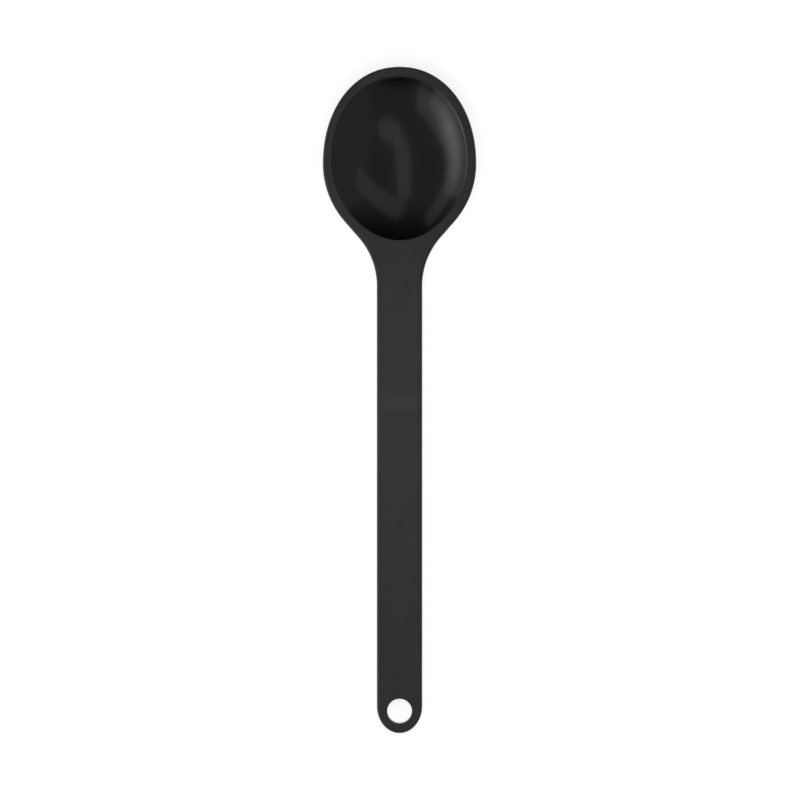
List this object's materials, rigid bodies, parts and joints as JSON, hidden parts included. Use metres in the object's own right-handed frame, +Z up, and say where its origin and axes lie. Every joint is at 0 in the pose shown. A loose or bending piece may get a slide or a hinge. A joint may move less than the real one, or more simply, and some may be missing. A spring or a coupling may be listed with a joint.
{
  "type": "cooking spoon",
  "caption": "Matte black cooking spoon with a glossy oval bowl, a flat rim, a stiff spine hidden in its flat arched handle and a round hang hole at the end.",
  "frame": {"origin": "middle of the spoon's plan on the surface it lies on", "axes": "+Y along the spoon towards the tip of the bowl, +Z up out of the bowl's mouth, +X to the right"},
  "size_m": [0.0688, 0.3, 0.0188],
  "materials": {
    "glossy_bowl": "polished black glass-filled nylon",
    "spine_steel": "stamped stainless strip, tumbled edges",
    "matte_jacket": "fine matte black silicone with a faint mottle"
  },
  "bodies": {
    "root": {"bowl": "glossy_bowl", "spine": "spine_steel", "jacket": "matte_jacket"}
  },
  "joints": []
}
